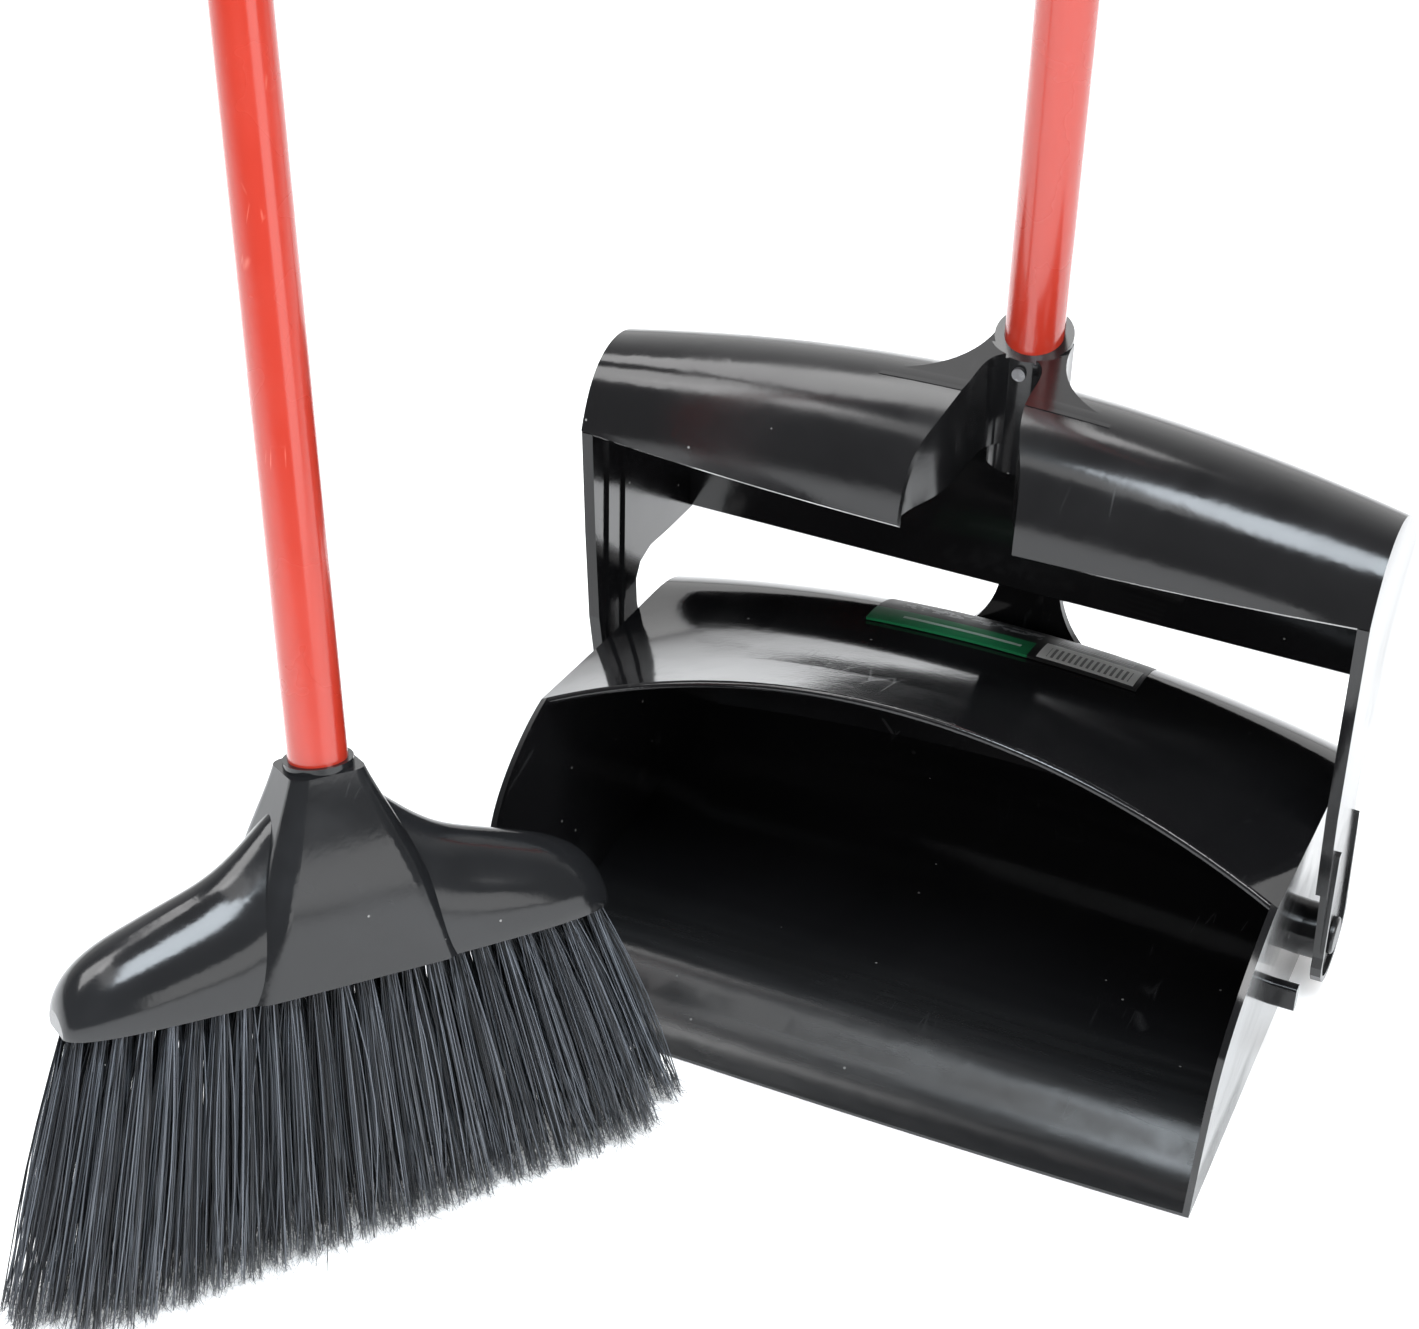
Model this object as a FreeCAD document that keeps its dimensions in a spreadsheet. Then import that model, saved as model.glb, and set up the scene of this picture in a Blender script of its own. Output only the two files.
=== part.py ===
"""Upright dust pan with a lidded yoke and a long handle, and the angled lobby broom that goes with it.

Frame: origin on the floor straight below the pan handle's axis, +Z up, +X to the pan's right
as seen from the mouth, -Y out of the mouth. Millimetres.
"""
import FreeCAD
import Part
import Sketcher
import math
import os
from FreeCAD import Placement, Rotation, Vector

doc = FreeCAD.newDocument("dust_pan_set")

# ---------------------------------------------------------------- driving dimensions
sheet = doc.addObject("Spreadsheet::Sheet", "dims")
DIMENSIONS = [
    # scoop
    ("pan_half_width_floor", 138.0),
    ("pan_half_width_rim", 143.0),
    ("pan_wall", 2.5),
    ("lip_reach", 173.0),
    ("lip_bow", 2.3),
    ("lip_thickness", 1.4),
    ("rim_reach", 124.0),
    ("rim_height_side", 110.0),
    ("rim_height_crown", 151.0),
    ("rim_bead_radius", 1.45),
    ("barrel_radius_side", 70.0),
    ("barrel_radius_crown", 84.5),
    ("ramp_height", 17.0),
    ("stop_lug_reach", 85.0),
    ("stop_lug_height", 38.0),
    ("rest_tab_front", 28.8),
    ("rest_tab_top", 113.0),
    ("label_offset", 3.5),
    ("label_half_length", 55.5),
    # hinge between scoop and yoke
    ("pivot_reach", 30.0),
    ("pivot_height", 26.0),
    ("pin_radius", 5.0),
    ("pin_clearance", 0.08),
    ("pin_head_radius", 7.5),
    ("pin_head_length", 2.2),
    ("pin_shank_length", 12.5),
    ("boss_radius", 11.0),
    ("arm_gap", 0.35),
    # yoke
    ("yoke_half_width", 150.0),
    ("yoke_wall", 2.6),
    ("yoke_skirt", 106.0),
    ("paddle_radius", 19.0),
    ("notch_half_width", 22.0),
    # pan handle
    ("pan_tube_radius", 11.1),
    ("pan_tube_bottom", 190.0),
    ("pan_tube_length", 707.0),
    ("socket_wall", 3.6),
    ("socket_gap", 0.05),
    ("socket_bottom", 187.0),
    ("socket_front", 236.0),
    ("socket_back", 245.0),
    ("tube_wall", 0.8),
    ("plug_length", 50.0),
    ("screw_height", 231.0),
    ("screw_head_radius", 2.6),
    ("screw_shank_radius", 1.4),
    ("screw_head_length", 1.8),
    ("screw_shank_length", 14.0),
    # broom
    ("broom_tube_radius", 10.4),
    ("broom_tube_bottom", 122.0),
    ("broom_tube_length", 745.0),
    ("broom_socket_wall", 1.9),
    ("broom_left", 136.2),
    ("broom_front", 286.8),
    ("broom_lean", 17.0),
    ("broom_lean_heading", 128.2),
    ("broom_heading", 51.9),
    ("block_half_width", 101.0),
    ("block_bottom", 93.0),
    ("block_socket_top", 169.0),
    ("tuft_rows", 4.0),
    ("tuft_end_margin", 6.5),
    ("tuft_row_pitch", 8.2),
    ("tuft_outer_missing", 3.0),
    ("broom_screw_height", 160.0),
    ("tuft_columns", 23.0),
    ("tuft_radius", 3.0),
    ("tuft_hole_radius", 3.15),
    ("tuft_hole_depth", 13.0),
    ("sweep_half_width", 137.0),
    # hang caps
    ("cap_sleeve", 26.0),
    ("cap_wall", 1.6),
    ("cap_ear_height", 24.0),
    ("cap_ear_thickness", 9.0),
    ("hang_hole_radius", 5.0),
]
for row, (alias, value) in enumerate(DIMENSIONS, start=1):
    sheet.set("A%d" % row, alias)
    sheet.set("B%d" % row, str(value))
    sheet.setAlias("B%d" % row, alias)
doc.recompute()

X_AXIS = Vector(1, 0, 0)
Y_AXIS = Vector(0, 1, 0)
Z_AXIS = Vector(0, 0, 1)
nodes = []


def dim(alias):
    return float(getattr(sheet, alias))


def bind(obj, **links):
    for prop, formula in links.items():
        obj.setExpression(prop, formula)


def keep(obj, label):
    obj.Label = label
    nodes.append(obj)
    return obj


def shape_node(label, shape, placement=None):
    feature = doc.addObject("Part::Feature", label + "_shape")
    feature.Shape = shape
    if placement is not None:
        feature.Placement = placement
    return keep(feature, label)


# ---------------------------------------------------------------- curve and loft helpers
def spline(points):
    curve = Part.BSplineCurve()
    curve.interpolate(points)
    return curve.toShape()


def line(start, end):
    return Part.makeLine(start, end)


def blend(first, second, share):
    """Point by point mix of two outlines: share 0 gives the first, 1 the second."""
    return [(a[0] + (b[0] - a[0]) * share, a[1] + (b[1] - a[1]) * share) for a, b in zip(first, second)]


def crown(station):
    """How far a cross-section is towards the widest, middle one: 0 at the ends, 1 in the middle."""
    return 1.0 - station * station


def inset(points, distance):
    """The outline moved to its right by distance, each point along its own normal."""
    moved = []
    for index, (y, z) in enumerate(points):
        before = points[max(index - 1, 0)]
        after = points[min(index + 1, len(points) - 1)]
        run = Vector(after[0] - before[0], after[1] - before[1], 0).normalize()
        moved.append((y + run.y * distance, z - run.x * distance))
    return moved


def extrude_yz(points, x_from, x_to):
    wire = Part.makePolygon([Vector(x_from, y, z) for y, z in points + points[:1]])
    return Part.Face(wire).extrude(Vector(x_to - x_from, 0, 0))


def x_cylinder(y, z, radius, x_from, x_to):
    low, high = min(x_from, x_to), max(x_from, x_to)
    return Part.makeCylinder(radius, high - low, Vector(low, y, z), X_AXIS)


def mirrored(shape):
    return shape.mirror(Vector(0, 0, 0), X_AXIS)


# ---------------------------------------------------------------- scoop
wall = dim("pan_wall")
pivot_y = -dim("pivot_reach")
pivot_z = dim("pivot_height")
STATIONS = (-1.0, -0.55, 0.0, 0.55, 1.0)
BARREL_ANGLES = (8.0, 28.0, 48.0, 68.0, 90.0)
foot_trim = 0.6
HOOD_STEPS = (0.3, 0.6, 0.85, 1.0)
HOOD_FLARE = 1.12
SIDE_EDGE = ((175.0, 0.24), (176.0, 0.5), (171.0, 0.74), (151.0, 0.91))


def pan_half_width(height):
    flare = dim("pan_half_width_rim") - dim("pan_half_width_floor")
    return dim("pan_half_width_floor") + flare * height / dim("rim_height_side")


def back_outline(station, inward):
    """Barrel and hood from the floor at the back, over the top, to the rim."""
    share = crown(station)
    radius = dim("barrel_radius_side") + (dim("barrel_radius_crown") - dim("barrel_radius_side")) * share
    radius -= inward
    rim = dim("rim_height_side") + (dim("rim_height_crown") - dim("rim_height_side")) * share - inward
    base = inward * 1.2 if inward else -foot_trim
    points = [(pivot_y + math.sqrt(radius ** 2 - (pivot_z - base) ** 2), base)]
    for degrees in BARREL_ANGLES:
        turn = math.radians(degrees)
        points.append((pivot_y + radius * math.cos(turn), pivot_z + radius * math.sin(turn)))
    top = pivot_z + radius
    for step in HOOD_STEPS:
        reach = pivot_y + (-dim("rim_reach") - pivot_y) * step
        points.append((reach, top + (rim - top) * step ** HOOD_FLARE))
    return points


def section_wire(station, edges, half_width):
    """A closed section whose points lie at the station's share of the half width at their height."""
    made = []
    for kind, points in edges:
        path = [Vector(station * half_width(z), y, z) for y, z in points]
        made.append(spline(path) if kind == "curve" else line(path[0], path[-1]))
    return Part.Wire(made)


def pan_outer_section(station):
    back = back_outline(station, 0.0)
    lip = (-dim("lip_reach") - dim("lip_bow") * crown(station), -foot_trim)
    rim_y, rim_z = back[-1]
    edge = [(rim_y, rim_z)]
    edge += [(-reach, rim_z * share) for reach, share in reversed(SIDE_EDGE)]
    edge += [lip]
    edges = [("curve", back), ("curve", edge), ("line", [lip, back[0]])]
    return section_wire(station, edges, pan_half_width)


def ramp_outline(drop):
    """Top of the ramp behind the lip, from in front of the lip back to the flat floor."""
    lip = -dim("lip_reach")
    low = dim("lip_thickness") - drop
    floor = wall * 1.2 - drop
    rise = dim("ramp_height") - dim("lip_thickness")
    return [(lip - 8.0, low - 1.2), (lip, low), (lip + 9.0, low + rise * 0.11),
            (lip + 18.0, low + rise * 0.38), (lip + 27.0, low + rise * 0.79), (lip + 36.0, low + rise),
            (lip + 47.0, low + rise * 0.86), (lip + 62.0, floor + rise * 0.32),
            (lip + 78.0, floor + 0.5), (lip + 94.0, floor)]


def pan_inner_section(station):
    back = back_outline(station, wall)
    ramp = ramp_outline(0.0)
    beyond = -dim("lip_reach") - 40.0
    over_rim = (back[-1][0] - 1.0, back[-1][1] + 30.0)
    front_high = (beyond, back[-1][1] + 30.0)
    front_low = (beyond, ramp[0][1] - 1.0)
    edges = [("curve", back), ("line", [back[-1], over_rim]), ("line", [over_rim, front_high]),
             ("line", [front_high, front_low]), ("line", [front_low, ramp[0]]), ("curve", ramp),
             ("line", [ramp[-1], back[0]])]
    return section_wire(station, edges, lambda height: pan_half_width(height) - wall)


pan_outer = Part.makeLoft([pan_outer_section(s) for s in STATIONS], True, False)


def make_pan_shell():
    inner = Part.makeLoft([pan_inner_section(s) for s in STATIONS], True, False)
    shell = pan_outer.cut(inner)
    shell = shell.cut(Part.makeBox(400.0, 400.0, 10.0, Vector(-200.0, -250.0, -10.0)))
    # hollow under the ramp
    under = [point for point in ramp_outline(wall) if point[1] > 0.3]
    under = [(under[0][0] - 2.0, -1.0)] + under + [(under[-1][0] + 2.0, -1.0)]
    half = dim("pan_half_width_floor") - 2 * wall
    shell = shell.cut(extrude_yz(under, -half, half))
    # rolled bead along the rim
    rim_points = []
    for share in (-1.0, -0.75, -0.5, -0.25, 0.0, 0.25, 0.5, 0.75, 1.0):
        y, z = back_outline(share, wall / 2)[-1]
        rim_points.append(Vector(share * (pan_half_width(z) - wall / 2), y, z))
    path = Part.Wire(spline(rim_points))
    start = rim_points[0]
    heading = path.Edges[0].tangentAt(path.Edges[0].FirstParameter)
    ring = Part.Wire(Part.makeCircle(dim("rim_bead_radius"), start, heading))
    bead = path.makePipeShell([ring], True, True)
    shell = shell.fuse(bead)
    # pivot bosses, stop lugs and the rest tab behind the barrel
    outer_face = dim("yoke_half_width") - dim("yoke_wall") - dim("arm_gap")
    inner_face = pan_half_width(pivot_z) - wall * 0.6
    boss = x_cylinder(pivot_y, pivot_z, dim("boss_radius"), inner_face, outer_face)
    lug = Part.makeBox(dim("yoke_half_width") - inner_face - 0.6, 5.0, 11.0,
                       Vector(inner_face, -dim("stop_lug_reach") - 2.5, dim("stop_lug_height") - 5.5))
    lug = lug.makeFillet(1.6, [e for e in lug.Edges if abs(e.tangentAt(e.FirstParameter).x) > 0.9])
    for piece in (boss, lug):
        shell = shell.fuse(piece).fuse(mirrored(piece))
    shell = shell.fuse(rest_tab())
    hole = x_cylinder(pivot_y, pivot_z, dim("pin_radius"), inner_face - 2 * wall, outer_face + 1.0)
    shell = shell.cut(hole).cut(mirrored(hole))
    return shell.removeSplitter()


def rest_tab():
    """Flared upright tab that the yoke's skirt leans back against."""
    front = dim("rest_tab_front")
    top = dim("rest_tab_top")
    half_top = 12.0
    half_base = 33.0
    base = 76.0
    outline = [Vector(-half_top, front, top), Vector(-half_top - 4.0, front, top - 17.0),
               Vector(-half_base, front, base)]
    left = spline(outline)
    right = spline([Vector(-p.x, p.y, p.z) for p in outline])
    wire = Part.Wire([left, line(outline[-1], Vector(half_base, front, base)), right,
                      line(Vector(half_top, front, top), outline[0])])
    tab = Part.Face(wire).extrude(Vector(0, 3.2, 0))
    scoop = Part.makeCylinder(13.0, 60.0, Vector(0, front - 11.4, base - 5.0), Z_AXIS)
    return tab.cut(scoop)


shape_node("pan_shell", make_pan_shell())


def make_label():
    """Thin sticker that follows the crown of the barrel."""
    buried = -0.8
    proud = 0.3
    angles = (58.0, 66.0, 74.0, 82.0)

    def section(x):
        share = crown(x / dim("pan_half_width_rim"))
        radius = dim("barrel_radius_side") + (dim("barrel_radius_crown") - dim("barrel_radius_side")) * share
        rings = []
        for lift in (buried, proud):
            ring = []
            for degrees in angles:
                turn = math.radians(degrees)
                ring.append(Vector(x, pivot_y + (radius + lift) * math.cos(turn),
                                   pivot_z + (radius + lift) * math.sin(turn)))
            rings.append(ring)
        inner, outer = rings
        return Part.Wire([spline(inner), line(inner[-1], outer[-1]),
                          spline(outer[::-1]), line(outer[0], inner[0])])

    middle = dim("label_offset")
    half = dim("label_half_length")
    sections = [section(middle + half * step) for step in (-1.0, -0.5, 0.0, 0.5, 1.0)]
    return Part.makeLoft(sections, True, False).cut(pan_outer)


shape_node("pan_label", make_label())


# ---------------------------------------------------------------- pivot pins
def sketch_on(body, role, name):
    sketch = body.newObject("Sketcher::SketchObject", name)
    plane = [f for f in body.Origin.OriginFeatures if f.Role == role][0]
    sketch.AttachmentSupport = [(plane, "")]
    sketch.MapMode = "FlatFace"
    return sketch


def add_circle(sketch, formula, name):
    """Draws a circle round the sketch's origin whose radius is bound to the sheet."""
    index = sketch.addGeometry(Part.Circle(Vector(0, 0, 0), Z_AXIS, 5.0), False)
    sketch.addConstraint(Sketcher.Constraint("Coincident", index, 3, -1, 1))
    constraint = sketch.addConstraint(Sketcher.Constraint("Radius", index, 5.0))
    sketch.renameConstraint(constraint, name)
    sketch.setExpression("Constraints." + name, formula)


def add_pad(body, sketch, name, length):
    pad = body.newObject("PartDesign::Pad", name)
    pad.Profile = sketch
    pad.setExpression("Length", length)
    body.Tip = pad
    return pad


def pivot_pin(label, side):
    """Headed pin: its shank turns in the arm and is pressed into the scoop's boss."""
    body = doc.addObject("PartDesign::Body", label)
    head = sketch_on(body, "XY_Plane", label + "_head_sketch")
    add_circle(head, "dims.pin_head_radius", "head_radius")
    add_pad(body, head, label + "_head", "dims.pin_head_length")
    shank = sketch_on(body, "XY_Plane", label + "_shank_sketch")
    add_circle(shank, "dims.pin_radius", "shank_radius")
    pad = add_pad(body, shank, label + "_shank", "dims.pin_shank_length")
    pad.Reversed = True
    doc.recompute()
    dome = body.newObject("PartDesign::Fillet", label + "_dome")
    rim = max(range(len(pad.Shape.Edges)), key=lambda i: pad.Shape.Edges[i].CenterOfMass.z)
    dome.Base = (pad, ["Edge%d" % (rim + 1)])
    dome.Radius = 1.2
    body.Tip = dome
    seat = side * (dim("yoke_half_width") + dim("arm_gap"))
    body.Placement = Placement(Vector(seat, pivot_y, pivot_z), Rotation(Y_AXIS, 90.0 * side))
    return keep(body, label)


pivot_pin("pivot_pin_right", 1)
pivot_pin("pivot_pin_left", -1)

# ---------------------------------------------------------------- yoke: lid, arms and handle socket
yoke_wall = dim("yoke_wall")
SKIRT_REAR = 28.0
END_ROOF = [(-74.0, 199.0), (-69.5, 209.0), (-61.0, 219.0), (-50.0, 223.5), (-38.0, 223.0),
            (-25.0, 217.5), (-10.0, 205.0), (8.0, 184.0), (21.0, 162.0), (SKIRT_REAR, 142.0)]
CROWN_ROOF = [(-79.0, 196.0), (-76.5, 211.0), (-68.5, 225.0), (-56.0, 234.5), (-41.0, 238.0),
              (-26.0, 235.0), (-10.0, 226.5), (8.0, 210.0), (22.0, 188.0), (SKIRT_REAR, 164.0)]


def yoke_outer_section(station):
    half = dim("yoke_half_width")
    roof = blend(END_ROOF, CROWN_ROOF, crown(station))
    foot = (SKIRT_REAR, dim("yoke_skirt"))
    edges = [("curve", roof), ("line", [roof[-1], foot]), ("line", [foot, roof[0]])]
    return section_wire(station, edges, lambda height: half)


def yoke_inner_section(station):
    half = dim("yoke_half_width") - yoke_wall
    roof = inset(blend(END_ROOF, CROWN_ROOF, crown(station)), yoke_wall)
    roof[-1] = (SKIRT_REAR - yoke_wall, roof[-1][1])
    foot = (SKIRT_REAR - yoke_wall, dim("yoke_skirt") - 30.0)
    front = (roof[0][0] - 0.6, roof[0][1] - 30.0)
    edges = [("curve", roof), ("line", [roof[-1], foot]), ("line", [foot, front]),
             ("line", [front, roof[0]])]
    return section_wire(station, edges, lambda height: half)


def arm_outline():
    """Arm from the lid's end down to the paddle round the pivot."""
    radius = dim("paddle_radius")
    paddle = []
    for step in range(13):
        turn = math.radians(172.0 + step * 16.5)
        paddle.append((pivot_y + radius * math.cos(turn), pivot_z + radius * math.sin(turn)))
    skirt = dim("yoke_skirt")
    rear = [(-15.0, 58.0), (-22.0, 76.0), (-27.0, 92.0), (-28.0, 104.0), (-24.0, 110.0), (-14.0, 112.0),
            (4.0, 109.0), (SKIRT_REAR, skirt)]
    top = [(SKIRT_REAR, 138.0), (8.0, 180.0), (-30.0, 216.0), (-55.0, 216.0), (-70.0, 202.0), (-73.5, 198.0)]
    front = [(-70.5, 150.0), (-67.0, 110.0), (-58.0, 66.0)]
    return paddle + rear + top + front


def arm_solid():
    half = dim("yoke_half_width")
    arm = extrude_yz(arm_outline(), half - yoke_wall, half)
    # thick front edge and two stiffening ribs inside
    edge = [(-73.5, 198.0), (-70.5, 150.0), (-67.0, 110.0), (-58.0, 66.0),
            (-54.5, 66.0), (-63.0, 110.0), (-66.5, 150.0), (-69.5, 198.0)]
    arm = arm.fuse(extrude_yz(edge, half - 4.4, half))
    for y in (-57.0, -42.0):
        arm = arm.fuse(Part.makeBox(1.4, 1.3, 118.0, Vector(half - yoke_wall - 1.2, y, 84.0)))
    # raised U round the paddle on the outside
    radius = dim("paddle_radius")
    band = x_cylinder(pivot_y, pivot_z, radius, half - 0.5, half + 1.6)
    legs = extrude_yz([(pivot_y - radius, pivot_z), (pivot_y - radius - 6.0, 84.0),
                       (pivot_y + radius - 12.0, 84.0), (pivot_y + radius, pivot_z)], half - 0.5, half + 1.6)
    hollow = x_cylinder(pivot_y, pivot_z, radius - 2.6, half - 1.0, half + 3.0)
    slot = extrude_yz([(pivot_y - radius + 2.6, pivot_z), (pivot_y - radius - 3.4, 90.0),
                       (pivot_y + radius - 14.6, 90.0), (pivot_y + radius - 2.6, pivot_z)],
                      half - 1.0, half + 3.0)
    rim = band.fuse(legs).cut(hollow.fuse(slot))
    rim = rim.common(extrude_yz(arm_outline(), half - 1.0, half + 3.0))
    arm = arm.fuse(rim)
    pin_hole_radius = dim("pin_radius") + dim("pin_clearance")
    return arm.cut(x_cylinder(pivot_y, pivot_z, pin_hole_radius, half - 6.0, half + 4.0))


def ridge_height(x):
    """Height of the lid's highest line at a place along its width."""
    return max(z for y, z in blend(END_ROOF, CROWN_ROOF, crown(x / dim("yoke_half_width"))))


def collar():
    """Two wings that bridge from the sides of the handle socket forward onto the lid's ridge."""
    radius = dim("pan_tube_radius") + dim("socket_wall")
    side = [(-radius, 3.0), (-radius - 0.6, -6.0), (-radius - 3.0, -16.0), (-radius - 8.0, -26.0),
            (-radius - 16.0, -34.5), (-radius - 29.0, -41.0)]
    front = -46.0
    left = spline([Vector(x, y, 0) for x, y in side])
    right = spline([Vector(-x, y, 0) for x, y in side])
    last = side[-1]
    plan = Part.Wire([line(Vector(radius, 3, 0), Vector(-radius, 3, 0)), left,
                      line(Vector(last[0], last[1], 0), Vector(last[0], front, 0)),
                      line(Vector(last[0], front, 0), Vector(-last[0], front, 0)),
                      line(Vector(-last[0], front, 0), Vector(-last[0], last[1], 0)), right])
    prism = Part.Face(plan).extrude(Vector(0, 0, 300.0))
    low = dim("socket_front") - 60.0
    crest = [Vector(x, 10.0, ridge_height(x) - 0.1) for x in range(-50, 51, 10)]
    left_foot = Vector(crest[0].x, 10.0, low)
    right_foot = Vector(crest[-1].x, 10.0, low)
    wire = Part.Wire([spline(crest), line(crest[-1], right_foot), line(right_foot, left_foot),
                      line(left_foot, crest[0])])
    return Part.Face(wire).extrude(Vector(0, -70.0, 0)).common(prism)


def notch_prism(grow, low, high):
    """Channel in the front of the lid that runs back to the handle socket."""
    half = dim("notch_half_width")
    side = [(-half, -100.0), (-half, -80.0), (-half + 2.2, -70.5), (-half + 6.0, -62.0),
            (-half + 9.4, -50.0), (-half + 10.6, -38.0), (-half + 11.0, -26.0),
            (-half + 13.2, -18.0), (-half + 17.5, -14.0)]
    left = spline([Vector(x - grow, y + grow * 0.6, low) for x, y in side])
    right = spline([Vector(-x + grow, y + grow * 0.6, low) for x, y in side])
    first, last = side[0], side[-1]
    back = last[1] + grow * 0.6
    front = first[1] + grow * 0.6
    back_edge = line(Vector(last[0] - grow, back, low), Vector(-last[0] + grow, back, low))
    front_edge = line(Vector(-first[0] + grow, front, low), Vector(first[0] - grow, front, low))
    wire = Part.Wire([left, back_edge, right, front_edge])
    return Part.Face(wire).extrude(Vector(0, 0, high - low))


def socket_mouth_cut(radius):
    """Removes the socket's rim above a plane that slopes down to the front."""
    front, back = dim("socket_front"), dim("socket_back") - 1.0
    slope = (back - front) / (2 * radius)
    reach = radius + 1.2
    outline = [(-reach, front - slope * (reach - radius)), (reach, back + slope * (reach - radius)),
               (reach, back + 30.0), (-reach, back + 30.0)]
    wedge = extrude_yz(outline, -reach, reach)
    return wedge.common(Part.makeCylinder(reach, 90.0, Vector(0, 0, 190.0)))


def make_yoke():
    outer = Part.makeLoft([yoke_outer_section(s) for s in STATIONS], True, False)
    inner = Part.makeLoft([yoke_inner_section(s) for s in STATIONS], True, False)
    radius = dim("pan_tube_radius") + dim("socket_wall")
    bottom, back = dim("socket_bottom"), dim("socket_back")
    socket = Part.makeCylinder(radius, back - bottom, Vector(0, 0, bottom))
    lid = outer.fuse(collar()).cut(inner)
    channel = notch_prism(2.0, bottom + 12.0, back).cut(notch_prism(0.0, 0.0, 400.0)).common(outer)
    lid = lid.fuse(channel)
    lid = lid.cut(notch_prism(0.0, 150.0, back + 20.0).cut(socket)).fuse(socket)
    web_start = radius - 2.0
    web = Part.makeBox(3.0, SKIRT_REAR - 1.0 - web_start, 20.0, Vector(-1.5, web_start, bottom - 14.0))
    arm = arm_solid()
    lid = lid.fuse(web).fuse(arm).fuse(mirrored(arm))
    lid = lid.cut(socket_mouth_cut(radius))
    bore = Part.makeCylinder(dim("pan_tube_radius") + dim("socket_gap"), 80.0, Vector(0, 0, bottom + 3.0))
    screw = Part.makeCylinder(dim("screw_shank_radius"), 30.0, Vector(0, 0, dim("screw_height")), -Y_AXIS)
    return lid.cut(bore).cut(screw).removeSplitter()


shape_node("yoke_lid", make_yoke())

# ---------------------------------------------------------------- round parts of both handles
def round_body(label, rings, placement, bore=None):
    """Stacked pads round the body's own axis; rings are (radius, start, length) sheet formulas."""
    body = doc.addObject("PartDesign::Body", label)
    for number, (radius, start, length) in enumerate(rings):
        sketch = sketch_on(body, "XY_Plane", "%s_ring_%d" % (label, number))
        sketch.setExpression("AttachmentOffset.Base.z", start)
        add_circle(sketch, radius, "radius")
        if bore:
            add_circle(sketch, bore, "bore")
        add_pad(body, sketch, "%s_pad_%d" % (label, number), length)
    body.Placement = placement
    return keep(body, label)


def chamfer_ends(body, size):
    """Breaks the outer edges at both ends of a round body."""
    doc.recompute()
    base = body.Tip
    circles = [i for i, edge in enumerate(base.Shape.Edges)
               if isinstance(edge.Curve, Part.Circle) and edge.Closed]
    chamfer = body.newObject("PartDesign::Chamfer", body.Label + "_ends")
    chamfer.Base = (base, ["Edge%d" % (i + 1) for i in circles])
    chamfer.Size = size
    body.Tip = chamfer


def handle_set(prefix, placement, bottom, tube_length):
    """Tube, lower plug, screw and hang cap of one handle, in the frame whose Z is the handle's axis."""
    tube_radius = "dims.%s_tube_radius" % prefix
    inside = "%s - dims.tube_wall" % tube_radius

    def at(height):
        return placement.multiply(Placement(Vector(0, 0, height), Rotation()))

    round_body(prefix + "_handle_tube", [(tube_radius, "0", "dims.%s_tube_length" % prefix)],
               at(bottom), bore=inside)
    plug_rings = [(inside + " - 0.03", "0", "dims.plug_length")]
    plug = round_body(prefix + "_handle_plug", plug_rings, at(bottom + 0.6))
    chamfer_ends(plug, 1.0)
    hang_cap(prefix + "_hang_cap", tube_radius, at(bottom + tube_length))


def hang_cap(label, tube_radius, placement):
    """Cap pushed over the tube's top end, drawn in to a flat ear with a hang hole."""
    sleeve = doc.addObject("Part::Cylinder", label + "_sleeve")
    bind(sleeve, Radius=tube_radius + " + dims.cap_wall", Height="dims.cap_sleeve + 2")
    sleeve.Placement = Placement(Vector(0, 0, -dim("cap_sleeve")), Rotation())
    shoulder = doc.addObject("Part::Cone", label + "_shoulder")
    bind(shoulder, Radius1=tube_radius + " + dims.cap_wall", Radius2="dims.cap_ear_thickness * 0.62",
         Height="9")
    shoulder.Placement = Placement(Vector(0, 0, 2), Rotation())
    ear = doc.addObject("Part::Box", label + "_ear")
    bind(ear, Length="2 * " + tube_radius, Width="dims.cap_ear_thickness", Height="dims.cap_ear_height")
    ear.Placement = Placement(Vector(-tube_size(tube_radius), -dim("cap_ear_thickness") / 2, 1), Rotation())
    crest = doc.addObject("Part::Cylinder", label + "_crest")
    bind(crest, Radius=tube_radius, Height="dims.cap_ear_thickness")
    top = 1 + dim("cap_ear_height")
    crest.Placement = Placement(Vector(0, dim("cap_ear_thickness") / 2, top), Rotation(X_AXIS, 90))
    solid = doc.addObject("Part::MultiFuse", label + "_solid")
    solid.Shapes = [sleeve, shoulder, ear, crest]
    bore = doc.addObject("Part::Cylinder", label + "_bore")
    bind(bore, Radius=tube_radius + " + 0.05", Height="dims.cap_sleeve + 1")
    bore.Placement = Placement(Vector(0, 0, -dim("cap_sleeve") - 1), Rotation())
    hole = doc.addObject("Part::Cylinder", label + "_hole")
    bind(hole, Radius="dims.hang_hole_radius", Height="dims.cap_ear_thickness * 4")
    hole.Placement = Placement(Vector(0, dim("cap_ear_thickness") * 2, top), Rotation(X_AXIS, 90))
    cutters = doc.addObject("Part::MultiFuse", label + "_cutters")
    cutters.Shapes = [bore, hole]
    cap = doc.addObject("Part::Cut", label + "_cut")
    cap.Base = solid
    cap.Tool = cutters
    cap.Placement = placement
    return keep(cap, label)


def tube_size(formula):
    """The number behind a 'dims.alias' formula."""
    return dim(formula.split(".")[1])


def screw(label, placement):
    """Flat-headed screw lying along its own -Z; its thread is a plain shank."""
    rings = [("dims.screw_head_radius", "0", "dims.screw_head_length"),
             ("dims.screw_shank_radius - 0.04", "-dims.screw_shank_length", "dims.screw_shank_length")]
    return round_body(label, rings, placement)


handle_set("pan", Placement(), dim("pan_tube_bottom"), dim("pan_tube_length"))

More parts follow.
